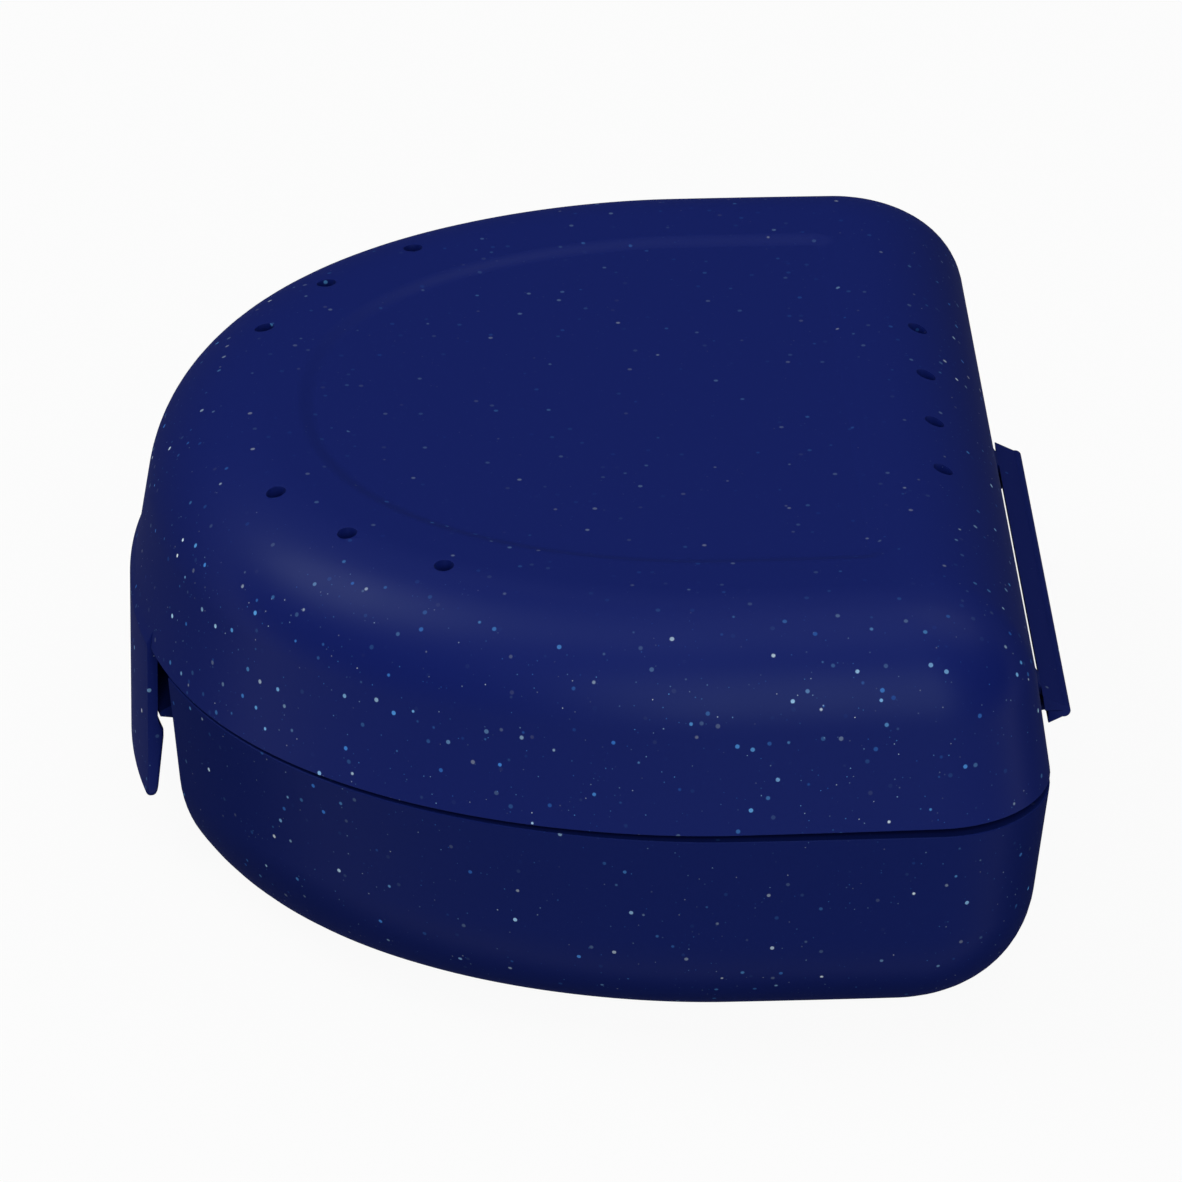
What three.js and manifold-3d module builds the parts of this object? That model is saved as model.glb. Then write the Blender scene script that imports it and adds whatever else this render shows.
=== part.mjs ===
// Retainer case: a D-shaped box with a domed lid, a strap hinge across its straight back and a clasp
// tongue at its round front. Millimetres, +Z up. The origin is the middle of the base's underside, the
// front (clasp) is -Y and the back (hinge) is +Y.
import * as THREE from "three";
import { mergeVertices, mergeGeometries } from "three/addons/utils/BufferGeometryUtils.js";
import Module from "manifold-3d";

const wasm = await Module();
wasm.setup();

// Outline of both halves at the parting line
const caseWidth = 84.5;
const caseLength = 68;
const widestPlace = 9.6; // how far behind the middle the case is widest
const frontCurveShare = 0.788; // length of the front apex's curve handle, of half the width
const sideCurveShare = 0.342; // length of the side's curve handle, of the front's depth
const sideLean = THREE.MathUtils.degToRad(1.2); // how far the sides lean in by the back corners
const cornerRadius = 9.1;
const cornerLossShare = 0.58; // how much tighter the back corners get, of how far a wall has come in
const leastCorner = 0.5;

// Base tray
const baseHeight = 17.9;
const baseDraft = THREE.MathUtils.degToRad(5.7);
const baseRoundWidth = 8.3;
const baseRoundHeight = 10.2;
const baseWall = 1.8;
const lipClearance = 0.25; // locating lip to the lid's inner wall
const lipThickness = 0.8;
const lipHeight = 1.1;

// Lid
const lidHeight = 15.2;
const lidDraft = THREE.MathUtils.degToRad(8.6);
const lidRoundWidth = 9.3;
const lidRoundHeight = 8.6;
const lidWall = 1.4;
const frontGap = 0.15; // parting gap at the clasp
const hingeGap = 0.72; // parting gap at the hinge, where the necks hold the rims apart
const panelFrontInset = 12.5; // shallow D-shaped panel in the lid's top
const panelSideInset = 14.5;
const panelBackInset = 11.7;
const panelDepth = 0.4;
const panelSlope = 1.4; // plan width of the panel's soft step
const panelCorner = 2.2;

// Vent holes in the lid
const ventDiameter = 1.5;
const frontVentInset = 8.8;
const backVentInset = 6.6;
const backVentPitch = 7.93;
const backVentCount = 4;
// Each front vent: its place along the front curve, and its inset as a share of frontVentInset
const frontVentShares = [
  [0.195, 0.933],
  [0.351, 1.022],
  [0.526, 1.066],
];

// Clasp tongue, which hangs from the lid's front rim
const tongueWidth = 21;
const tongueDrop = 13.1; // rim to tip
const tongueProud = 0.25; // how far its face stands out from the rim
const tongueThickness = 0.8;
const tongueTip = 0.75; // thickness at the tip
const tongueCorner = 1.2;
const tongueRise = 1.4; // height of the root's pad on the lid
const rootGap = 0.3; // between the lid's rim and the tongue's root, where it bends
const hookDepth = 0.5; // the bead inside the tongue
const hookHeight = 1.1;
const hookPlace = 6.7; // rim to the bead's top

// Catch on the base's front, in a wide notch that takes the tongue and leaves room for a thumb
const notchClearance = 0.35;
const notchSide = 4.5; // tongue's side to the notch's side
const notchLean = THREE.MathUtils.degToRad(9.7);
const notchWall = 1.4;
const catchWidth = 21;
const catchHeight = 1.6;
const catchClearance = 0.2; // catch to the tongue's inner face
const latchPlay = 0.4; // catch's underside to the bead's top

// Strap hinge across the back: two wedge-shaped leaves on necks, joined by a thin web that is the fold
const strapLength = 42.1;
const strapStandoff = 0.6; // slot between the wall and the upper leaf
const lowerSetback = 0.4; // how much wider the slot is at the lower leaf
const leafReach = 1.85; // the upper leaf's inner edge to the fold
const leafRise = 1.28; // the fold's plane to the upper leaf's top, at its inner edge
const leafRunning = 0.12; // the fold's plane to each leaf
const webRadius = 0.3;
const webGap = 0.2; // web to each leaf's end
const neckWidth = 2.2;
const neckPlace = 18.2; // middle of the case to each neck
const neckThickness = 0.8;
const padHeight = 1;

// How finely curves are cut
const frontSteps = 26;
const sideSteps = 3;
const cornerSteps = 8;
const backSteps = 3;
const roundSteps = 8;
const innerRoundSteps = 6;
const ventSides = 16;
const webSides = 12;
const tongueSteps = 12;
const arcSteps = 5;
const halvings = 30; // how often a place on the front curve is narrowed down
const overrun = 2; // how far a cutter passes a face

// Worked out from the sizes above
const halfLength = caseLength / 2;
const halfWidth = caseWidth / 2;
const closedHeight = baseHeight + hingeGap + lidHeight;
const foldHeight = closedHeight / 2; // so the open halves lie flat side by side
const foldPlace = halfLength + strapStandoff + leafReach;

const navy = new THREE.Color("#141d5a");
const navyStrap = new THREE.Color("#121a52");

function plastic(color) {
  return new THREE.MeshStandardMaterial({ color, roughness: 0.42, metalness: 0 });
}

// A mesh's positions, merged, as a solid that can be cut and joined
function solid(geometry) {
  const bare = geometry.clone();
  bare.deleteAttribute("normal");
  bare.deleteAttribute("uv");
  const merged = mergeVertices(bare);
  return new wasm.Manifold(
    new wasm.Mesh({
      numProp: 3,
      vertProperties: new Float32Array(merged.attributes.position.array),
      triVerts: new Uint32Array(merged.index.array),
    })
  );
}

function geometryOf(body) {
  const cut = body.getMesh();
  const geometry = new THREE.BufferGeometry();
  geometry.setAttribute("position", new THREE.BufferAttribute(new Float32Array(cut.vertProperties), 3));
  geometry.setIndex(new THREE.BufferAttribute(new Uint32Array(cut.triVerts), 1));
  const split = geometry.toNonIndexed();
  split.computeVertexNormals();
  return split;
}

function addNode(group, name, body, color) {
  const mesh = new THREE.Mesh(geometryOf(body), plastic(color));
  mesh.name = name;
  group.add(mesh);
}

// The front curve of a D outline, from its apex to its widest point
function frontCurve(front, side) {
  const depth = widestPlace + front;
  return new THREE.CubicBezierCurve(
    new THREE.Vector2(0, -front),
    new THREE.Vector2(side * frontCurveShare, -front),
    new THREE.Vector2(side, widestPlace - depth * sideCurveShare),
    new THREE.Vector2(side, widestPlace)
  );
}

// Half of a D outline, from the front apex to the middle back
function halfOutline(front, side, back, corner) {
  const curve = frontCurve(front, side);
  const places = [];
  for (let i = 0; i <= frontSteps; i += 1) {
    places.push(curve.getPoint(i / frontSteps));
  }
  const cornerStart = back - corner + corner * Math.sin(sideLean);
  const sideRadius = (cornerStart - widestPlace) / Math.sin(sideLean);
  const arc = (centre, radius, turn) => {
    places.push(new THREE.Vector2(Math.cos(turn), Math.sin(turn)).multiplyScalar(radius).add(centre));
  };
  const sideCentre = new THREE.Vector2(side - sideRadius, widestPlace);
  for (let i = 1; i <= sideSteps; i += 1) {
    arc(sideCentre, sideRadius, (sideLean * i) / sideSteps);
  }
  const cornerCentre = new THREE.Vector2(
    sideCentre.x + (sideRadius - corner) * Math.cos(sideLean),
    back - corner
  );
  for (let i = 1; i <= cornerSteps; i += 1) {
    arc(cornerCentre, corner, sideLean + ((Math.PI / 2 - sideLean) * i) / cornerSteps);
  }
  for (let i = 1; i <= backSteps; i += 1) {
    places.push(new THREE.Vector2(cornerCentre.x * (1 - i / backSteps), back));
  }
  return places;
}

// A whole D outline at one height, counter-clockwise from the front apex
function wholeRing(front, side, back, corner, z) {
  const half = halfOutline(front, side, back, Math.max(corner, leastCorner));
  const mirrored = half.slice(1, -1).reverse();
  return [
    ...half.map(({ x, y }) => new THREE.Vector3(x, y, z)),
    ...mirrored.map(({ x, y }) => new THREE.Vector3(-x, y, z)),
  ];
}

// The case's outline, drawn in
function ring(inset, z) {
  const corner = cornerRadius - inset * cornerLossShare;
  return wholeRing(halfLength - inset, halfWidth - inset, halfLength - inset, corner, z);
}

// The panel's outline, drawn in
function panelRing(inset, z) {
  return wholeRing(
    halfLength - panelFrontInset - inset,
    halfWidth - panelSideInset - inset,
    halfLength - panelBackInset - inset,
    panelCorner - inset,
    z
  );
}

// A closed solid through rings of equal count, each end closed by a fan
function loft(rings) {
  const count = rings[0].length;
  const points = rings.flat();
  const faces = [];
  for (let level = 0; level + 1 < rings.length; level += 1) {
    for (let i = 0; i < count; i += 1) {
      const a = level * count + i;
      const b = level * count + ((i + 1) % count);
      faces.push(a, b, b + count, a, b + count, a + count);
    }
  }
  const bottom = points.length;
  const top = bottom + 1;
  points.push(new THREE.Vector3(0, 0, rings[0][0].z));
  points.push(new THREE.Vector3(0, 0, rings[rings.length - 1][0].z));
  const last = (rings.length - 1) * count;
  for (let i = 0; i < count; i += 1) {
    const next = (i + 1) % count;
    faces.push(bottom, next, i, top, last + i, last + next);
  }
  const geometry = new THREE.BufferGeometry().setFromPoints(points);
  geometry.setIndex(faces);
  return solid(geometry);
}

// Heights and insets of a leaning wall that turns over through a quarter of an ellipse to a flat, from the
// rim to the flat. The ellipse starts where it leans as much as the wall.
function wallProfile(height, draft, roundWidth, roundHeight, steps) {
  const first = Math.atan((Math.tan(draft) * roundHeight) / roundWidth);
  const start = height - roundHeight * (1 - Math.sin(first));
  const stops = [[0, 0]];
  for (let i = 0; i <= steps; i += 1) {
    const turn = first + ((Math.PI / 2 - first) * i) / steps;
    stops.push([
      start + roundHeight * (Math.sin(turn) - Math.sin(first)),
      start * Math.tan(draft) + roundWidth * (Math.cos(first) - Math.cos(turn)),
    ]);
  }
  return stops;
}

// The same, inside a wall of some thickness
function innerProfile(height, draft, roundWidth, roundHeight, wall) {
  const width = Math.max(roundWidth - wall, wall);
  const rise = Math.max(roundHeight - wall, wall);
  return wallProfile(height - wall, draft, width, rise, innerRoundSteps);
}

// A section in (outward from the rim's outline, height), carried along the front curve
function frontBand(section, width) {
  const curve = frontCurve(halfLength, halfWidth);
  let end = 0;
  for (let i = 1; i <= halvings; i += 1) {
    const further = end + 1 / 2 ** i;
    end = curve.getPoint(further).x < width / 2 ? further : end;
  }
  const flat = section.map(([out, z]) => new THREE.Vector2(out, z));
  if (THREE.ShapeUtils.isClockWise(flat)) {
    flat.reverse();
  }
  const points = [];
  for (let i = -tongueSteps; i <= tongueSteps; i += 1) {
    const share = Math.abs(i / tongueSteps) * end;
    const at = curve.getPoint(share);
    const along = curve.getTangent(share);
    const mirror = Math.sign(i) || 1;
    for (const { x: out, y: z } of flat) {
      points.push(new THREE.Vector3(mirror * (at.x + along.y * out), at.y - along.x * out, z));
    }
  }
  const count = flat.length;
  const faces = [];
  for (let level = 0; level < 2 * tongueSteps; level += 1) {
    for (let i = 0; i < count; i += 1) {
      const a = level * count + i;
      const b = level * count + ((i + 1) % count);
      faces.push(a, b + count, b, a, a + count, b + count);
    }
  }
  const last = 2 * tongueSteps * count;
  for (const [a, b, c] of THREE.ShapeUtils.triangulateShape(flat, [])) {
    faces.push(a, b, c, last + a, last + c, last + b);
  }
  const geometry = new THREE.BufferGeometry().setFromPoints(points);
  geometry.setIndex(faces);
  return solid(geometry);
}

// A section in (Y, Z), as long as length along X and centred on middle
function alongX(section, length, middle) {
  const shape = new THREE.Shape(section.map(([y, z]) => new THREE.Vector2(y, z)));
  const geometry = new THREE.ExtrudeGeometry(shape, { depth: length, bevelEnabled: false });
  const turned = new THREE.Matrix4().makeBasis(
    new THREE.Vector3(0, 1, 0),
    new THREE.Vector3(0, 0, 1),
    new THREE.Vector3(1, 0, 0)
  );
  geometry.applyMatrix4(turned);
  geometry.translate(middle - length / 2, 0, 0);
  return solid(geometry);
}

// Sides that both necks of a leaf share
const neckSides = [-1, 1];

// Open tray: leaning wall, round bottom edge, locating lip inside the rim, front notch with its catch
// and two pads for the hinge
function baseTray() {
  const outside = wallProfile(baseHeight, baseDraft, baseRoundWidth, baseRoundHeight, roundSteps);
  const outer = loft(outside.map(([depth, inset]) => ring(inset, baseHeight - depth)).reverse());

  const lipOut = lidWall + lipClearance;
  const lipIn = Math.max(lipOut + lipThickness, baseWall);
  const lip = loft([ring(lipOut, baseHeight - lipHeight), ring(lipOut, baseHeight + lipHeight)]);

  const inside = innerProfile(baseHeight, baseDraft, baseRoundWidth, baseRoundHeight, baseWall);
  const bandDepth = (lipIn - baseWall) / Math.tan(baseDraft);
  const cavity = inside
    .slice(1)
    .filter(([depth]) => depth > bandDepth)
    .map(([depth, inset]) => ring(inset + baseWall, baseHeight - depth))
    .reverse();
  cavity.push(ring(lipIn, baseHeight - bandDepth));
  cavity.push(ring(lipIn, baseHeight + lipHeight + overrun));

  const open = outer.add(lip).subtract(loft(cavity));
  const notched = open.add(outer.intersect(notchBacking())).subtract(tongueNotch());
  return notched.add(claspCatch()).add(basePads());
}

const tongueInner = tongueThickness - tongueProud; // the inner face, in from the rim's outline
const notchInset = tongueInner + hookDepth + notchClearance;
const notchWidth = tongueWidth + 2 * notchSide;

// How far the notch's leaning floor is in from the rim's outline at a height
function notchFloor(z) {
  return notchInset + (baseHeight - z) * Math.tan(notchLean);
}

// The notch fades out at the bottom, where the round edge passes it
function tongueNotch() {
  return frontBand(
    [
      [overrun, 0],
      [overrun, baseHeight + overrun],
      [-notchInset, baseHeight + overrun],
      [-notchInset, baseHeight],
      [-notchFloor(0), 0],
    ],
    notchWidth
  );
}

// Wall behind and beside the notch
function notchBacking() {
  return frontBand(
    [
      [overrun, 0],
      [overrun, baseHeight],
      [-notchInset - notchWall, baseHeight],
      [-notchFloor(0) - notchWall, 0],
    ],
    notchWidth + 2 * notchWall
  );
}

function claspCatch() {
  const lowest = baseHeight - hookPlace + latchPlay;
  const highest = lowest + catchHeight;
  const reach = tongueInner + catchClearance;
  const root = notchFloor(lowest) + notchWall / 2;
  return frontBand(
    [
      [-root, lowest],
      [-notchFloor(lowest), lowest],
      [-reach, lowest + catchHeight / 4],
      [-reach, lowest + catchHeight / 2],
      [-notchFloor(highest), highest],
      [-root, highest],
    ],
    catchWidth
  );
}

// Flat pads on the back wall, one behind each neck of the lower leaf
function basePads() {
  const middle = foldHeight - leafRise / 2;
  const inner = halfLength - baseWall / 2;
  const pads = neckSides.map((side) =>
    alongX(
      [
        [inner, middle - padHeight],
        [halfLength, middle - padHeight / 2],
        [halfLength, middle + padHeight / 2],
        [inner, middle + padHeight / 2],
      ],
      neckWidth,
      side * neckPlace
    )
  );
  return pads[0].add(pads[1]);
}

// The lid's own height scale starts at its rim. Seating it lifts it over the parting gap, which is a
// little wider at the hinge.
function seatedLid(body) {
  const lean = (hingeGap - frontGap) / caseLength;
  const lift = baseHeight + (frontGap + hingeGap) / 2;
  return body.transform([1, 0, 0, 0, 0, 1, lean, 0, 0, 0, 1, 0, 0, 0, lift, 1]);
}

function lidShell() {
  const outside = wallProfile(lidHeight, lidDraft, lidRoundWidth, lidRoundHeight, roundSteps);
  const shell = loft(outside.map(([height, inset]) => ring(inset, height)));

  const inside = innerProfile(lidHeight, lidDraft, lidRoundWidth, lidRoundHeight, lidWall);
  const rings = inside.slice(1).map(([height, inset]) => ring(inset + lidWall, height));
  const mouth = lidWall - overrun * Math.tan(lidDraft);
  const cavity = loft([ring(mouth, -overrun), ...rings]);

  const open = shell.add(tongueRoot()).subtract(cavity);
  return seatedLid(open.subtract(lidPanel()).subtract(vents()).add(lidPads()));
}

// The shallow panel with its sloping step
function lidPanel() {
  const slope = panelSlope / panelDepth;
  return loft([
    panelRing(panelSlope, lidHeight - panelDepth),
    panelRing(0, lidHeight),
    panelRing((-slope * overrun) / 4, lidHeight + overrun / 4),
  ]);
}

function vents() {
  const curve = frontCurve(halfLength, halfWidth);
  const centres = [];
  for (const [place, insetShare] of frontVentShares) {
    const at = curve.getPoint(place);
    const along = curve.getTangent(place);
    const inset = frontVentInset * insetShare;
    const x = at.x - along.y * inset;
    const y = at.y + along.x * inset;
    centres.push([x, y], [-x, y]);
  }
  for (let i = 0; i < backVentCount; i += 1) {
    centres.push([(i - (backVentCount - 1) / 2) * backVentPitch, halfLength - backVentInset]);
  }
  const holes = centres.map(([x, y]) => {
    const drill = new THREE.CylinderGeometry(ventDiameter / 2, ventDiameter / 2, lidHeight, ventSides);
    drill.rotateX(Math.PI / 2);
    return drill.translate(x, y, lidHeight);
  });
  return solid(mergeGeometries(holes));
}

// The pad above the tongue, which fades into the lid's wall
function tongueRoot() {
  return frontBand(
    [
      [-lidWall / 2, 0],
      [tongueProud, 0],
      [tongueProud, tongueRise / 3],
      [-tongueRise * Math.tan(lidDraft), tongueRise],
      [-lidWall / 2, tongueRise],
    ],
    tongueWidth
  );
}

// Flat pads on the lid's back wall, one above each neck of the upper leaf
function lidPads() {
  const inner = halfLength - lidWall / 2;
  const pads = neckSides.map((side) =>
    alongX(
      [
        [inner, 0],
        [halfLength, 0],
        [halfLength, padHeight],
        [inner, padHeight * 1.5],
      ],
      neckWidth,
      side * neckPlace
    )
  );
  return pads[0].add(pads[1]);
}

// The tongue: a thin curved plate with a bead inside that snaps under the catch, thinner to its tip
function claspTongue() {
  const top = baseHeight + frontGap - rootGap;
  const bottom = baseHeight - tongueDrop;
  const beadTop = baseHeight - hookPlace;
  const bead = tongueInner + hookDepth;
  const body = frontBand(
    [
      [tongueProud, bottom],
      [tongueProud, top],
      [-tongueInner, top],
      [-tongueInner, beadTop + hookDepth / 2],
      [-bead, beadTop - hookDepth / 2],
      [-bead, beadTop - hookHeight],
      [tongueProud - tongueTip, bottom],
    ],
    tongueWidth
  );
  const half = tongueWidth / 2;
  const face = new THREE.Shape();
  face.moveTo(-half, top + overrun);
  face.lineTo(-half, bottom + tongueCorner);
  face.absarc(-half + tongueCorner, bottom + tongueCorner, tongueCorner, Math.PI, Math.PI * 1.5, false);
  face.absarc(half - tongueCorner, bottom + tongueCorner, tongueCorner, -Math.PI / 2, 0, false);
  face.lineTo(half, top + overrun);
  face.closePath();
  const front = new THREE.ExtrudeGeometry(face, {
    depth: caseLength,
    bevelEnabled: false,
    curveSegments: arcSteps,
  });
  front.rotateX(Math.PI / 2);
  return body.intersect(solid(front));
}

// One leaf of the strap, above or below the fold's plane. Its outer face slopes down to the fold.
function leafSection(upward, inner) {
  const tip = foldPlace - webRadius;
  const thin = webRadius + webGap;
  const rise = thin + ((leafRise - thin) * (tip - inner)) / (leafReach - webRadius);
  return [
    [inner, foldHeight + upward * leafRunning],
    [tip - webGap, foldHeight + upward * leafRunning],
    [tip, foldHeight + upward * thin],
    [inner, foldHeight + upward * rise],
  ];
}

function upperLeaf() {
  const out = halfLength + strapStandoff;
  const leaf = alongX(leafSection(1, out), strapLength, 0);
  const rim = baseHeight + hingeGap;
  const top = foldHeight + leafRise;
  const necks = neckSides.map((side) =>
    alongX(
      [
        [halfLength, rim],
        [out, top - neckThickness],
        [out + neckThickness / 2, top - neckThickness],
        [out, top],
        [halfLength, rim + padHeight / 2],
      ],
      neckWidth,
      side * neckPlace
    )
  );
  return leaf.add(necks[0]).add(necks[1]);
}

function lowerLeaf() {
  const out = halfLength + strapStandoff + lowerSetback;
  const leaf = alongX(leafSection(-1, out), strapLength, 0);
  const middle = foldHeight - leafRise / 2;
  const necks = neckSides.map((side) =>
    alongX(
      [
        [halfLength, middle - padHeight / 2],
        [out, middle - neckThickness / 4],
        [out + neckThickness / 2, middle],
        [out, middle + neckThickness / 4],
        [halfLength, middle + padHeight / 2],
      ],
      neckWidth,
      side * neckPlace
    )
  );
  return leaf.add(necks[0]).add(necks[1]);
}

// The fold itself, as a round bead on the hinge's axis
function hingeWeb() {
  const bead = new THREE.CylinderGeometry(webRadius, webRadius, strapLength, webSides);
  bead.rotateZ(Math.PI / 2);
  bead.translate(0, foldPlace, foldHeight);
  return solid(bead);
}

const retainerCase = new THREE.Group();
addNode(retainerCase, "base_tray", baseTray(), navy);
addNode(retainerCase, "hinge_leaf_lower", lowerLeaf(), navyStrap);
addNode(retainerCase, "hinge_web", hingeWeb(), navyStrap);
addNode(retainerCase, "hinge_leaf_upper", upperLeaf(), navyStrap);
addNode(retainerCase, "lid_shell", lidShell(), navy);
addNode(retainerCase, "clasp_tongue", claspTongue(), navy);

export default retainerCase;
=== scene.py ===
import math

import bmesh
import bpy
from mathutils import Matrix, Vector
from mathutils.geometry import interpolate_bezier


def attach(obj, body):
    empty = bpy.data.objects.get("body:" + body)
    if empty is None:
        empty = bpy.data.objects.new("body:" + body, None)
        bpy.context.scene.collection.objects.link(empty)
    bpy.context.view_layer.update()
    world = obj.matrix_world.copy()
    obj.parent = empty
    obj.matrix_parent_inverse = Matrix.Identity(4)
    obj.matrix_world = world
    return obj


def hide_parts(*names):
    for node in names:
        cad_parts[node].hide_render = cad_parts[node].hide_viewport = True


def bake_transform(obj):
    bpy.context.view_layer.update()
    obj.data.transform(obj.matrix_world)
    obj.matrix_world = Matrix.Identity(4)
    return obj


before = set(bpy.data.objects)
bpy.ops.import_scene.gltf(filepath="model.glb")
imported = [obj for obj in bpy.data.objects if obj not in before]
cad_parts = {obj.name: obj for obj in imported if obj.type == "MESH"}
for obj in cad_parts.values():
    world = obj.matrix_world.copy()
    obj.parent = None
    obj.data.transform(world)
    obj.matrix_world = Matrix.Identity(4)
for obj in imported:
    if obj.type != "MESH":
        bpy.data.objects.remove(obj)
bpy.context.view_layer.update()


# Base tray
# The lower half of the moulding, in polypropylene about 1.8 mm thick: a D-shaped tray whose wall leans in
# to a round bottom edge. A locating lip stands inside its rim. A wide notch at its front takes the clasp
# tongue and has the catch on its floor.
mm = 0.001
half_length = 34 * mm
half_width = 42.25 * mm
widest_place = 9.6 * mm
front_handle_share = 0.788
side_handle_share = 0.342
side_lean = math.radians(1.2)
corner_radius = 9.1 * mm
corner_loss_share = 0.58
front_steps = 64
side_steps = 4
corner_steps = 16
back_steps = 4
curve_steps = 2000
base_height = 17.9 * mm
base_draft = math.radians(5.7)
base_round_width = 8.3 * mm
base_round_height = 10.2 * mm
base_wall = 1.8 * mm
rim_edge = 0.08 * mm
lip_outer = 1.65 * mm
lip_inner = 2.45 * mm
lip_height = 1.1 * mm
lip_edge = 0.2 * mm
notch_width = 30 * mm
notch_inset = 1.4 * mm
notch_lean = math.radians(9.7)
notch_wall = 1.4 * mm
catch_width = 21 * mm
catch_low = 11.6 * mm
catch_height = 1.6 * mm
catch_reach = 0.75 * mm
backing_drop = 0.3 * mm
overrun = 2 * mm
weld = 0.001 * mm
crease = math.radians(35)


def arc(centre, radius, start, end, steps):
    """Places on an arc, without its start."""
    turns = [start + (end - start) * step / steps for step in range(1, steps + 1)]
    return [(centre[0] + radius * math.cos(turn), centre[1] + radius * math.sin(turn)) for turn in turns]


def front_curve(front, side, steps):
    """The right half of a D outline's round front, from its middle to its widest place."""
    handle = widest_place - (widest_place + front) * side_handle_share
    knots = (0, -front, 0), (side * front_handle_share, -front, 0), (side, handle, 0), (side, widest_place, 0)
    return interpolate_bezier(*knots, steps + 1)


def d_ring(front, side, rear, corner, height):
    """A whole D outline, counter-clockwise from the middle of its round front."""
    half = [(place.x, place.y) for place in front_curve(front, side, front_steps)]
    corner_start = rear - corner + corner * math.sin(side_lean)
    side_radius = (corner_start - widest_place) / math.sin(side_lean)
    half += arc((side - side_radius, widest_place), side_radius, 0, side_lean, side_steps)
    corner_x = side - side_radius + (side_radius - corner) * math.cos(side_lean)
    half += arc((corner_x, rear - corner), corner, side_lean, math.pi / 2, corner_steps)
    half += [(corner_x * (1 - step / back_steps), rear) for step in range(1, back_steps + 1)]
    return [(x, y, height) for x, y in half + [(-x, y) for x, y in reversed(half[1:-1])]]


def case_ring(inset, height):
    """The case's outline, drawn in. Its back corners get tighter as it comes in."""
    corner = corner_radius - inset * corner_loss_share
    return d_ring(half_length - inset, half_width - inset, half_length - inset, corner, height)


def wall_stops(height, draft, round_width, round_height, steps):
    """A leaning wall that turns over through part of an ellipse to a flat, as (inset, distance from the rim)."""
    first = math.atan(math.tan(draft) * round_height / round_width)
    straight = height - round_height * (1 - math.sin(first))
    stops = []
    for step in range(steps + 1):
        turn = first + (math.pi / 2 - first) * step / steps
        inset = straight * math.tan(draft) + round_width * (math.cos(first) - math.cos(turn))
        stops.append((inset, straight + round_height * (math.sin(turn) - math.sin(first))))
    return stops


def loft(loops):
    """A closed skin extruded from loop to loop, with a flat face over each end."""
    bm = bmesh.new()
    start = bm.faces.new([bm.verts.new(place) for place in loops[0]])
    end = start
    for loop in loops[1:]:
        grown = bmesh.ops.extrude_face_region(bm, geom=[end], use_keep_orig=True)["geom"]
        if end is not start:
            bmesh.ops.delete(bm, geom=[end], context="FACES_ONLY")
        end = [item for item in grown if isinstance(item, bmesh.types.BMFace)][0]
        for vert, place in zip(end.verts, loop):
            vert.co = place
    bmesh.ops.recalc_face_normals(bm, faces=bm.faces)
    return bm


def front_band(section, width, steps):
    """A section in (outward from the rim, height), carried along the middle of the round front."""
    curve = front_curve(half_length, half_width, curve_steps)
    end = sum(place.x < width / 2 for place in curve)
    loops = []
    for step in range(-steps, steps + 1):
        index = round(end * abs(step) / steps)
        along = (curve[index + 1] - curve[index]).normalized()
        hand = 1 if step > 0 else -1
        loops.append(
            [(hand * (curve[index].x + along.y * out), curve[index].y - along.x * out, z) for out, z in section]
        )
    return loft(loops)


def bar(section, length, middle):
    """A section in (Y, Z), as long as length along X and centred on middle."""
    return loft([[(x, y, z) for y, z in section] for x in (middle - length / 2, middle + length / 2)])


def piece(bm, name):
    """A smooth-shaded mesh object from a bmesh."""
    mesh = bpy.data.meshes.new(name)
    bm.to_mesh(mesh)
    bm.free()
    mesh.shade_smooth()
    made = bpy.data.objects.new(name, mesh)
    bpy.context.scene.collection.objects.link(made)
    return made


def boolean(target, tool_mesh, operation):
    """Cuts, or joins, the tool and the target's mesh."""
    tool = piece(tool_mesh, "tool")
    modifier = target.modifiers.new("boolean", "BOOLEAN")
    modifier.operation = operation
    modifier.solver = "EXACT"
    modifier.object = tool
    bpy.context.view_layer.update()
    target.data = bpy.data.meshes.new_from_object(target.evaluated_get(bpy.context.evaluated_depsgraph_get()))
    target.modifiers.clear()
    bpy.data.objects.remove(tool)


def soften(target, width, segments, within, sharpest):
    """Rounds the edges sharper than an angle whose ends both lie inside a region."""
    bm = bmesh.new()
    bm.from_mesh(target.data)
    bmesh.ops.remove_doubles(bm, verts=bm.verts, dist=weld)
    edges = [
        edge
        for edge in bm.edges
        if len(edge.link_faces) == 2
        and edge.calc_face_angle() > sharpest
        and all(within(vert.co) for vert in edge.verts)
    ]
    bmesh.ops.bevel(
        bm,
        geom=edges,
        offset=width,
        affect="EDGES",
        segments=segments,
        profile=0.5,
        material=-1,
        clamp_overlap=True,
    )
    bm.to_mesh(target.data)
    bm.free()


def finish_normals(target, sharpest):
    """Keeps flat faces flat beside their rounded edges."""
    target.data.shade_smooth()
    target.data.set_sharp_from_angle(angle=sharpest)
    weighted = target.modifiers.new("weighted normals", "WEIGHTED_NORMAL")
    weighted.keep_sharp = True


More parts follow.
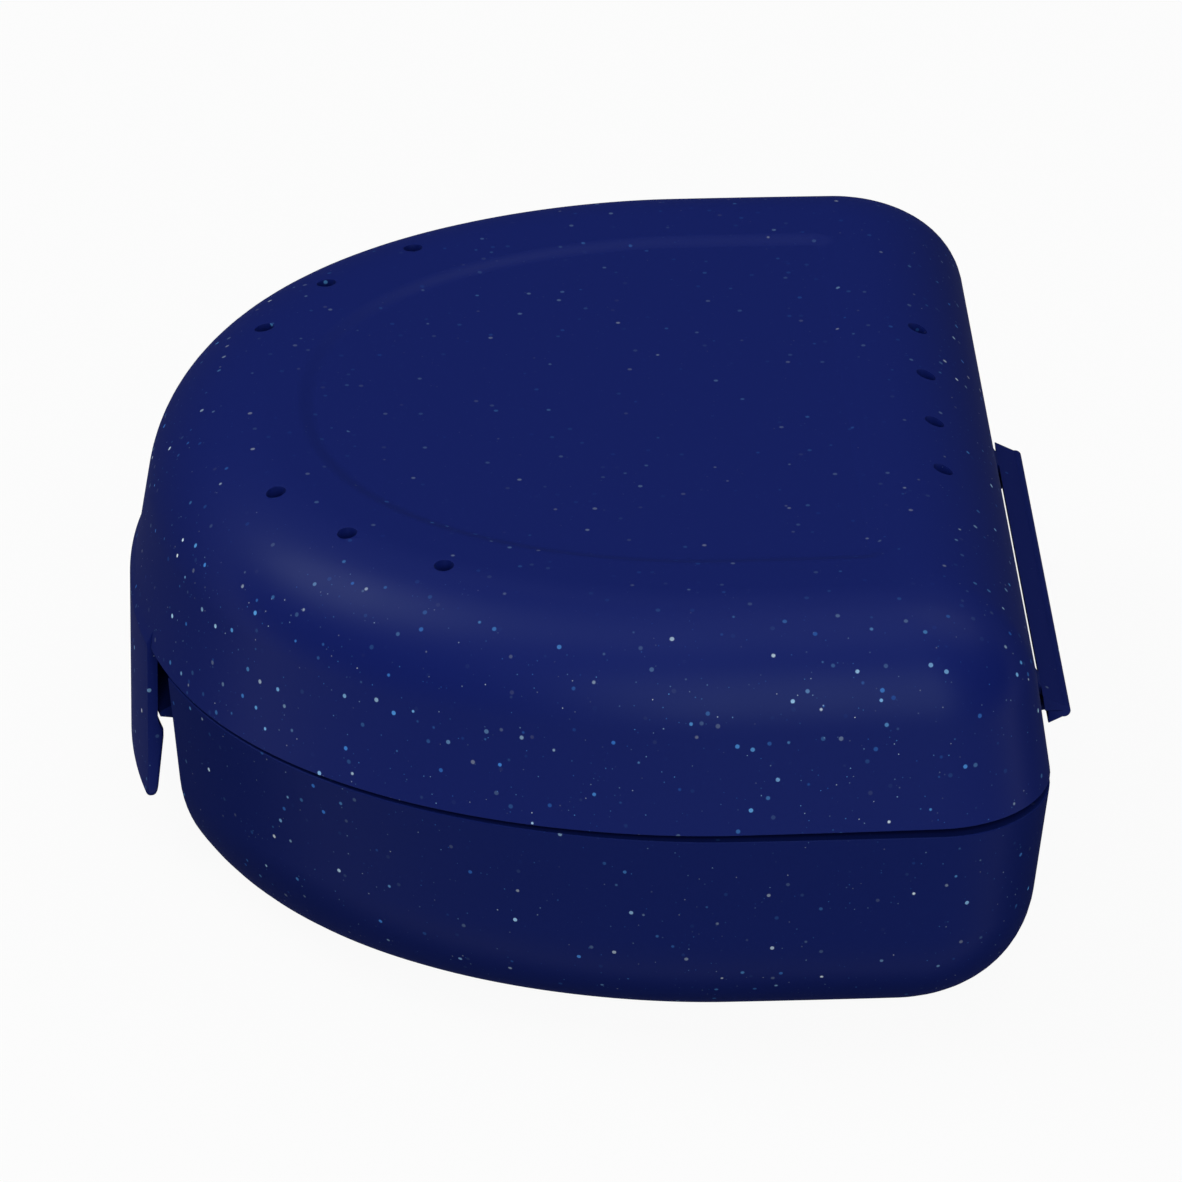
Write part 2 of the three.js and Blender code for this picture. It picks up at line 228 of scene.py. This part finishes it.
rim = base_height - rim_edge
lip_top = base_height + lip_height
outer_stops = wall_stops(base_height, base_draft, base_round_width, base_round_height, 16)
inner_size = base_height - base_wall, base_draft, base_round_width - base_wall, base_round_height - base_wall
band_depth = (lip_inner - base_wall) / math.tan(base_draft)
tray_profile = [(inset, base_height - depth) for inset, depth in reversed(outer_stops)]
tray_profile += [(0, rim)] + arc((rim_edge, rim), rim_edge, math.pi, math.pi / 2, 4)
tray_profile += [(lip_outer, base_height), (lip_outer, lip_top - lip_edge)]
tray_profile += arc((lip_outer + lip_edge, lip_top - lip_edge), lip_edge, math.pi, math.pi / 2, 4)
tray_profile += [(lip_inner - lip_edge, lip_top)]
tray_profile += arc((lip_inner - lip_edge, lip_top - lip_edge), lip_edge, math.pi / 2, 0, 4)
tray_profile += [(lip_inner, base_height - band_depth)]
tray_profile += [
    (inset + base_wall, base_height - depth) for inset, depth in wall_stops(*inner_size, 12) if depth > band_depth
]
tray = piece(loft([case_ring(inset, height) for inset, height in tray_profile]), "tray")


def notch_floor(height):
    """How far the notch's leaning floor is in from the rim's outline."""
    return notch_inset + (base_height - height) * math.tan(notch_lean)


backing_top = base_height - backing_drop
backing_section = [(-base_wall / 2, backing_top), (-notch_inset - notch_wall, backing_top)]
backing_section += [(-notch_floor(base_wall / 2) - notch_wall, base_wall / 2)]
backing_section += [
    (-inset - base_wall / 2, base_height - depth)
    for inset, depth in reversed(outer_stops)
    if inset < notch_floor(base_wall / 2) and depth < base_height - base_wall / 2
]
boolean(tray, front_band(backing_section, notch_width + 2 * notch_wall, 16), "UNION")
notch_section = [
    (overrun, -overrun),
    (overrun, base_height + overrun),
    (-notch_inset, base_height + overrun),
    (-notch_inset, base_height),
    (-notch_floor(-overrun), -overrun),
]
boolean(tray, front_band(notch_section, notch_width, 16), "DIFFERENCE")
catch_root = notch_floor(catch_low) + notch_wall / 2
catch_section = [
    (-catch_root, catch_low),
    (-notch_floor(catch_low), catch_low),
    (-catch_reach, catch_low + catch_height / 4),
    (-catch_reach, catch_low + catch_height / 2),
    (-notch_floor(catch_low + catch_height), catch_low + catch_height),
    (-catch_root, catch_low + catch_height),
]
boolean(tray, front_band(catch_section, catch_width, 12), "UNION")
fold_height = 16.91 * mm
fold_place = 36.45 * mm
neck_width = 2.2 * mm
neck_place = 18.2 * mm
pad_height = 1 * mm
leaf_rise = 1.28 * mm
lower_middle = fold_height - leaf_rise / 2
for side in (-1, 1):
    pad_section = [
        (half_length - base_wall / 2, lower_middle - pad_height),
        (half_length, lower_middle - pad_height / 2),
        (half_length, lower_middle + pad_height / 2),
        (half_length - base_wall / 2, lower_middle + pad_height / 2),
    ]
    boolean(tray, bar(pad_section, neck_width, side * neck_place), "UNION")
finish_normals(tray, crease)


def linear(code):
    """An sRGB hex colour in linear light, opaque."""
    parts = [int(code[at : at + 2], 16) / 255 for at in (1, 3, 5)]
    return [part / 12.92 if part <= 0.04045 else ((part + 0.055) / 1.055) ** 2.4 for part in parts] + [1]


def add(tree, kind, values={}, links={}, **settings):
    """A node with its settings, socket values and links.

    A colour Mix takes its two colours at sockets 6 and 7, and a plain Mix its two numbers at 2 and 3.
    """
    made = tree.nodes.new("ShaderNode" + kind)
    for name, value in settings.items():
        setattr(made, name, value)
    for socket, value in values.items():
        made.inputs[socket].default_value = value
    for socket, source in links.items():
        tree.links.new(source, made.inputs[socket])
    return made


def glitter_polypropylene(name, body, gloss, layers):
    """Navy polypropylene, injection-moulded to a satin face, with metal-coated flakes of up to 0.4 mm in it.

    Each layer of flakes is a pitch, a radius and how strongly its best flakes show. On faces that point up
    the flakes are painted fewer and dimmer, as painted shade. The gloss is soft and bluish, and fades at grazing
    angles.
    """
    material = bpy.data.materials.new(name)
    material.use_nodes = True
    tree = material.node_tree
    shader = tree.nodes["Principled BSDF"]
    coordinates = add(tree, "TexCoord").outputs
    odd_turn = {"Rotation": (0.5, 0.7, 0.3)}
    place = add(tree, "Mapping", odd_turn, {"Vector": coordinates["Object"]}).outputs["Vector"]
    # painted shade: flakes fade towards faces that point up, standing in for the weaker sparkle there
    painted_top_flake_shade = add(tree, "SeparateXYZ", links={"Vector": coordinates["Normal"]}).outputs["Z"]
    painted_top_flake_shade = add(tree, "Math", {}, {0: painted_top_flake_shade}, operation="ABSOLUTE").outputs[0]
    painted_top_flake_shade = add(tree, "MapRange", {"From Min": 0.5, "From Max": 1, "To Min": 1, "To Max": 0.12}, {"Value": painted_top_flake_shade})
    facing = add(tree, "NewGeometry").outputs["Normal"]
    colour = None
    metal = None
    for pitch, radius, strength in layers:
        cells = add(tree, "TexVoronoi", {"Scale": 1 / pitch}, {"Vector": place}, voronoi_dimensions="3D")
        chance = add(tree, "SeparateColor", links={"Color": cells.outputs["Color"]}).outputs
        edge = radius / pitch
        ends = {"From Min": 0.7 * edge, "From Max": edge, "To Min": 1, "To Max": 0}
        inside = add(tree, "MapRange", ends, {"Value": cells.outputs["Distance"]})
        show = add(tree, "Math", {1: 2.4}, {0: chance["Green"]}, operation="POWER")
        share = add(tree, "Math", {}, {0: inside.outputs[0], 1: show.outputs[0]}, operation="MULTIPLY")
        share = add(tree, "Math", {}, {0: share.outputs[0], 1: painted_top_flake_shade.outputs[0]}, operation="MULTIPLY")
        share = add(tree, "Math", {1: strength}, {0: share.outputs[0]}, operation="MULTIPLY").outputs[0]
        tint = add(tree, "ValToRGB", links={"Fac": chance["Blue"]})
        tint.color_ramp.elements[0].color = linear("#2c6cc8")
        tint.color_ramp.elements[1].color = linear("#eefaff")
        tint.color_ramp.elements.new(0.5).color = linear("#5aa0e0")
        tint.color_ramp.elements.new(0.8).color = linear("#a8d0ec")
        ends = {"Factor": share, 7: tint.outputs["Color"]}
        mixed = add(tree, "Mix", {6: linear(body)}, ends | ({6: colour} if colour else {}), data_type="RGBA")
        colour = mixed.outputs[2]
        lean = add(tree, "VectorMath", {1: (0.5, 0.5, 0.5)}, {0: cells.outputs["Color"]}, operation="SUBTRACT")
        lean = add(tree, "VectorMath", {}, {0: lean.outputs[0], "Scale": share}, operation="SCALE")
        facing = add(tree, "VectorMath", links={0: facing, 1: lean.outputs[0]}, operation="ADD").outputs[0]
        if metal is not None:
            share = add(tree, "Math", {}, {0: metal, 1: share}, operation="MAXIMUM").outputs[0]
        metal = share
    tree.links.new(colour, shader.inputs["Base Color"])
    metallic = add(tree, "Math", {1: 0.3}, {0: metal}, operation="MULTIPLY")
    tree.links.new(metallic.outputs[0], shader.inputs["Metallic"])
    facing = add(tree, "VectorMath", links={0: facing}, operation="NORMALIZE")
    tree.links.new(facing.outputs[0], shader.inputs["Normal"])
    wear = add(tree, "TexNoise", {"Scale": 1 / (6 * mm), "Detail": 4}, {"Vector": place})
    rough = add(tree, "MapRange", {"To Min": 0.4, "To Max": 0.46}, {"Value": wear.outputs["Fac"]})
    edge_on = add(tree, "LayerWeight", {"Blend": 0.5}).outputs["Facing"]
    ends = {"From Min": 0.28, "From Max": 0.58}
    edge_on = add(tree, "MapRange", ends, {"Value": edge_on}, interpolation_type="SMOOTHSTEP")
    rough = add(tree, "Mix", {3: 1}, {0: edge_on.outputs[0], 2: rough.outputs["Result"]})
    tree.links.new(rough.outputs[0], shader.inputs["Roughness"])
    shader.inputs["IOR"].default_value = 1.49
    shader.inputs["Specular IOR Level"].default_value = gloss
    shader.inputs["Specular Tint"].default_value = linear("#c8e1ff")
    return material


# painted shade: the base is the lid's plastic, given a darker body colour and weaker flakes to stand in for the
# shade it sits in
shaded_base_plastic = glitter_polypropylene(
    "base_polypropylene_painted_shade", "#0c174e", 0.05, [(0.5 * mm, 0.06 * mm, 0.25), (1.36 * mm, 0.18 * mm, 0.7)]
)
tray.data.materials.clear()
tray.data.materials.append(shaded_base_plastic)
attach(tray, "base")
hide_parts("base_tray")


# Lower leaf of the strap hinge
# A strap 42 mm long whose two leaves are wedges, moulded on to the base and lid by short necks. This leaf
# slopes out and up from the back wall to the fold.
strap_length = 42.1 * mm
leaf_running = 0.03 * mm
fold_thickness = 0.5 * mm
fold_start = fold_place - 0.3 * mm
fold_root = fold_start - 0.2 * mm
leaf_slope = (leaf_rise - fold_thickness) / (1.55 * mm)
leaf_edge = 0.08 * mm
neck_thickness = 0.8 * mm
lower_inner = 35.05 * mm
strap_plastic = glitter_polypropylene(
    "strap_polypropylene", "#0f1954", 0.1, [(0.5 * mm, 0.06 * mm, 0.25), (1.6 * mm, 0.16 * mm, 0.6)]
)


def leaf(name, upward, inner, cut_back, neck_section):
    """One leaf with its two necks. Upward is 1 above the fold's plane and -1 below it.

    Its inner end leans by cut_back, so that a line of light passes between the strap and the case.
    """
    section = [
        (inner + cut_back, fold_height + upward * leaf_running),
        (fold_root, fold_height + upward * leaf_running),
        (fold_start, fold_height + upward * fold_thickness),
        (inner, fold_height + upward * (fold_thickness + leaf_slope * (fold_start - inner))),
    ]
    made = piece(bar(section, strap_length, 0), name)
    for side in (-1, 1):
        boolean(made, bar(neck_section, neck_width, side * neck_place), "UNION")
    soften(made, leaf_edge, 2, lambda place: place.y < fold_root - 0.05 * mm, math.radians(30))
    finish_normals(made, crease)
    made.data.materials.clear()
    made.data.materials.append(strap_plastic)
    return made


lower_neck = [
    (half_length, lower_middle - pad_height / 2),
    (lower_inner, lower_middle - neck_thickness / 4),
    (lower_inner + neck_thickness / 2, lower_middle),
    (lower_inner, lower_middle + neck_thickness / 4),
    (half_length, lower_middle + pad_height / 2),
]
lower_leaf = leaf("lower_leaf", -1, lower_inner, 0, lower_neck)
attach(lower_leaf, "base")
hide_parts("hinge_leaf_lower")


# Fold of the strap hinge
# Where the strap is thinnest, the place where the real strap bends, half as far as the lid turns; here it is
# drawn closed, in one fixed piece.
fold_bulge = 0.508 * mm
bulge_centre = fold_place - 0.208 * mm
bulge_swing = math.radians(100.4)
fold_section = [(fold_start, fold_height - fold_thickness)]
fold_section += arc((bulge_centre, fold_height), fold_bulge, -bulge_swing, bulge_swing, 41)
fold_section += [(fold_root, fold_height + leaf_running)]
fold_section += [(fold_root + 0.25 * mm, fold_height), (fold_root, fold_height - leaf_running)]
fold = piece(bar(fold_section, strap_length, 0), "fold")
finish_normals(fold, crease)
fold.data.materials.append(strap_plastic)
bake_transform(fold)
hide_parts("hinge_web")


# Upper leaf of the strap hinge
# The other leaf, on two necks that come down from the lid's back rim.
hinge_gap = 0.72 * mm
lid_rim_back = base_height + hinge_gap
upper_inner = 34.6 * mm
upper_cut_back = 0.16 * mm
leaf_top = fold_height + leaf_rise
upper_neck = [
    (half_length, lid_rim_back),
    (upper_inner, leaf_top - neck_thickness),
    (upper_inner + neck_thickness / 2, leaf_top - neck_thickness),
    (upper_inner, leaf_top),
    (half_length, lid_rim_back + pad_height / 2),
]
upper_leaf = leaf("upper_leaf", 1, upper_inner, upper_cut_back, upper_neck)
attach(upper_leaf, "lid")
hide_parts("hinge_leaf_upper")


# Lid
# The upper half of the moulding: a leaning wall that turns over a wide round shoulder to a flat top. A
# shallow D-shaped panel is sunk in the top, and ten vent holes go through the shoulder.
lid_height = 15.2 * mm
lid_draft = math.radians(8.6)
lid_round_width = 9.3 * mm
lid_round_height = 8.6 * mm
lid_wall = 1.4 * mm
front_gap = 0.15 * mm
panel_front_inset = 12.5 * mm
panel_side_inset = 14.5 * mm
panel_back_inset = 11.7 * mm
panel_corner = 2.2 * mm
panel_depth = 0.4 * mm
panel_slope = 1.7 * mm
vent_diameter = 1.5 * mm
vent_edge = 0.12 * mm
front_vent_inset = 8.8 * mm
# how far along the front's curve each vent is, and its own share of the inset
front_vent_shares = [(0.195, 0.933), (0.351, 1.022), (0.526, 1.066)]
back_vent_inset = 6.6 * mm
back_vent_pitch = 7.93 * mm
root_rise = 1.4 * mm
tongue_width = 21 * mm
tongue_proud = 0.25 * mm


def panel_ring(share):
    """The panel's outline, part of the way down its soft step."""
    inset = panel_slope * share
    return d_ring(
        half_length - panel_front_inset - inset,
        half_width - panel_side_inset - inset,
        half_length - panel_back_inset - inset,
        panel_corner - inset,
        lid_height - panel_depth * (1 - math.cos(math.pi * share)) / 2,
    )


outside = wall_stops(lid_height, lid_draft, lid_round_width, lid_round_height, 20)
inner_size = lid_height - lid_wall, lid_draft, lid_round_width - lid_wall, lid_round_height - lid_wall
lid_profile = [(outside[-1][0] + 0.2 * mm, lid_height)] + outside[::-1] + [(0, rim_edge)]
lid_profile += arc((rim_edge, rim_edge), rim_edge, math.pi, math.pi * 1.5, 4) + [(lid_wall - rim_edge, 0)]
lid_profile += arc((lid_wall - rim_edge, rim_edge), rim_edge, -math.pi / 2, 0, 4)
lid_profile += [(inset + lid_wall, height) for inset, height in wall_stops(*inner_size, 12)]
panel_rings = [panel_ring(step / 8) for step in range(8, -1, -1)]
lid = piece(loft(panel_rings + [case_ring(inset, height) for inset, height in lid_profile]), "lid")
root_section = [
    (-lid_wall / 2, 0),
    (tongue_proud, 0),
    (tongue_proud, root_rise / 3),
    (-root_rise * math.tan(lid_draft), root_rise),
    (-lid_wall / 2, root_rise),
]
boolean(lid, front_band(root_section, tongue_width, 12), "UNION")
for side in (-1, 1):
    pad_section = [
        (half_length - lid_wall / 2, 0),
        (half_length, 0),
        (half_length, pad_height),
        (half_length - lid_wall / 2, pad_height * 1.5),
    ]
    boolean(lid, bar(pad_section, neck_width, side * neck_place), "UNION")
vent_places = [(back_vent_pitch * (step - 1.5), half_length - back_vent_inset) for step in range(4)]
curve = front_curve(half_length, half_width, curve_steps)
for place_share, inset_share in front_vent_shares:
    index = round(place_share * curve_steps)
    along = (curve[index + 1] - curve[index]).normalized()
    place = curve[index] + front_vent_inset * inset_share * Vector((-along.y, along.x, 0))
    vent_places += [(place.x, place.y), (-place.x, place.y)]
drills = bmesh.new()
for x, y in vent_places:
    bmesh.ops.create_cone(
        drills,
        cap_ends=True,
        segments=32,
        radius1=vent_diameter / 2,
        radius2=vent_diameter / 2,
        depth=lid_height,
        matrix=Matrix.Translation((x, y, lid_height)),
    )
boolean(lid, drills, "DIFFERENCE")


def at_a_vent(place):
    """True on the edge of a vent hole, outside or inside the lid."""
    return any(abs(math.hypot(place.x - x, place.y - y) - vent_diameter / 2) < weld for x, y in vent_places)


soften(lid, vent_edge, 2, at_a_vent, math.radians(50))
finish_normals(lid, crease)
# the closed lid leans: its gap to the base is wider at the hinge than at the clasp
lean = (hinge_gap - front_gap) / (2 * half_length)
seat = Matrix(((1, 0, 0, 0), (0, 1, 0, 0), (0, lean, 1, base_height + (front_gap + hinge_gap) / 2), (0, 0, 0, 1)))
lid.data.transform(seat)
lid_plastic = glitter_polypropylene(
    "lid_polypropylene", "#0d1855", 0.1, [(0.5 * mm, 0.06 * mm, 0.4), (1.25 * mm, 0.2 * mm, 1)]
)
lid.data.materials.clear()
lid.data.materials.append(lid_plastic)
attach(lid, "lid")
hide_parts("lid_shell")


# Clasp tongue
# A thin curved tongue that hangs from the lid's front rim, moulded in one with it. Its bead snaps under
# the base's catch, and its tip stands off the notch's floor for a thumb.
tongue_thickness = 0.8 * mm
tongue_tip = 0.75 * mm
tongue_corner = 1.2 * mm
tongue_top = base_height + front_gap + 0.05 * mm
tongue_bottom = base_height - 13.1 * mm
bead_top = base_height - 6.7 * mm
bead_height = 1.1 * mm
bead_depth = 0.5 * mm
tongue_edge = 0.3 * mm
tongue_inner = tongue_thickness - tongue_proud
tongue_section = [
    (tongue_proud, tongue_bottom),
    (tongue_proud, tongue_top),
    (-tongue_inner, tongue_top),
    (-tongue_inner, bead_top + bead_depth / 2),
    (-tongue_inner - bead_depth, bead_top - bead_depth / 2),
    (-tongue_inner - bead_depth, bead_top - bead_height),
    (tongue_proud - tongue_tip, tongue_bottom),
]
tongue_mesh = front_band(tongue_section, tongue_width, 12)
tip_corners = [
    edge
    for edge in tongue_mesh.edges
    if all(abs(vert.co.z - tongue_bottom) < weld for vert in edge.verts)
    and all(abs(vert.co.x) > tongue_width / 2 - 0.5 * mm for vert in edge.verts)
]
bmesh.ops.bevel(
    tongue_mesh, geom=tip_corners, offset=tongue_corner, affect="EDGES", segments=8, profile=0.5, material=-1
)
tongue = piece(tongue_mesh, "tongue")
soften(tongue, tongue_edge, 4, lambda place: place.z < tongue_top - weld, math.radians(30))
finish_normals(tongue, crease)
tongue.data.materials.append(lid_plastic)
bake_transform(tongue)
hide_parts("clasp_tongue")


# Floor, light and camera
# A white floor that keeps a faint shadow. A big soft lamp stands on the camera's side. One overhead and two
# behind the case, beyond its clasp and its hinge, draw the light band along the lid's shoulder.
floor_mesh = bmesh.new()
bmesh.ops.create_grid(floor_mesh, x_segments=1, y_segments=1, size=3)
ground = piece(floor_mesh, "ground")
white_floor = bpy.data.materials.new("white_floor")
white_floor.use_nodes = True
tree = white_floor.node_tree
paper = tree.nodes["Principled BSDF"]
paper.inputs["Base Color"].default_value = linear("#b4b4b4")
paper.inputs["Roughness"].default_value = 0.9
glow = add(tree, "Emission", {"Color": (1, 1, 1, 1)})
path = add(tree, "LightPath").outputs
seen = add(tree, "Math", {}, {0: path["Is Camera Ray"], 1: path["Is Glossy Ray"]}, operation="MAXIMUM")
seen = add(tree, "Math", {}, {0: seen.outputs[0], 1: path["Is Transmission Ray"]}, operation="MAXIMUM")
share = add(tree, "Math", {1: 0.94}, {0: seen.outputs[0]}, operation="MULTIPLY")
blend = add(tree, "MixShader", {}, {0: share.outputs[0], 1: paper.outputs[0], 2: glow.outputs[0]})
tree.links.new(blend.outputs[0], tree.nodes["Material Output"].inputs["Surface"])
ground.data.materials.append(white_floor)


lamp_distance = 1.2


def softbox(name, azimuth, zenith, size, power):
    """A square area lamp that faces the case."""
    data = bpy.data.lights.new(name, "AREA")
    data.size = size
    data.energy = power
    lamp = bpy.data.objects.new(name, data)
    turned, tipped = math.radians(azimuth), math.radians(zenith)
    across = math.sin(tipped)
    towards = Vector((math.cos(turned) * across, math.sin(turned) * across, math.cos(tipped)))
    lamp.location = lamp_distance * towards
    lamp.rotation_euler = (-lamp.location).to_track_quat("-Z", "Y").to_euler()
    bpy.context.scene.collection.objects.link(lamp)


softbox("front", 4, 60, 0.9, 12)
softbox("clasp_side", -108, 39, 0.6, 8.2)
softbox("hinge_side", 128, 30, 0.8, 3.8)
softbox("overhead", -20, 6, 0.5, 2.3)
world = bpy.data.worlds.new("studio")
bpy.context.scene.world = world
world.use_nodes = True
world.node_tree.nodes["Background"].inputs["Color"].default_value = linear("#e8ecf4")
world.node_tree.nodes["Background"].inputs["Strength"].default_value = 0.04

camera_data = bpy.data.cameras.new("camera")
camera_data.lens = 354.56
camera_data.shift_x = 0.01543
camera_data.shift_y = -0.0112
camera_data.clip_start = 0.01
camera = bpy.data.objects.new("camera", camera_data)
azimuth = math.radians(-3.482)
elevation = math.radians(28)
roll = math.radians(0.609)
camera_distance = 901.15
level_share = math.cos(elevation)
back = Vector((math.cos(azimuth) * level_share, math.sin(azimuth) * level_share, math.sin(elevation)))
right = Vector((-math.sin(azimuth), math.cos(azimuth), 0))
turned = Matrix((right, back.cross(right), back)).transposed() @ Matrix.Rotation(roll, 3, "Z")
camera_place = Vector((0, 0, base_height)) + back * camera_distance * mm
camera.matrix_world = Matrix.Translation(camera_place) @ turned.to_4x4()
bpy.context.scene.collection.objects.link(camera)
bpy.context.scene.camera = camera
bpy.context.scene.view_settings.view_transform = "Standard"
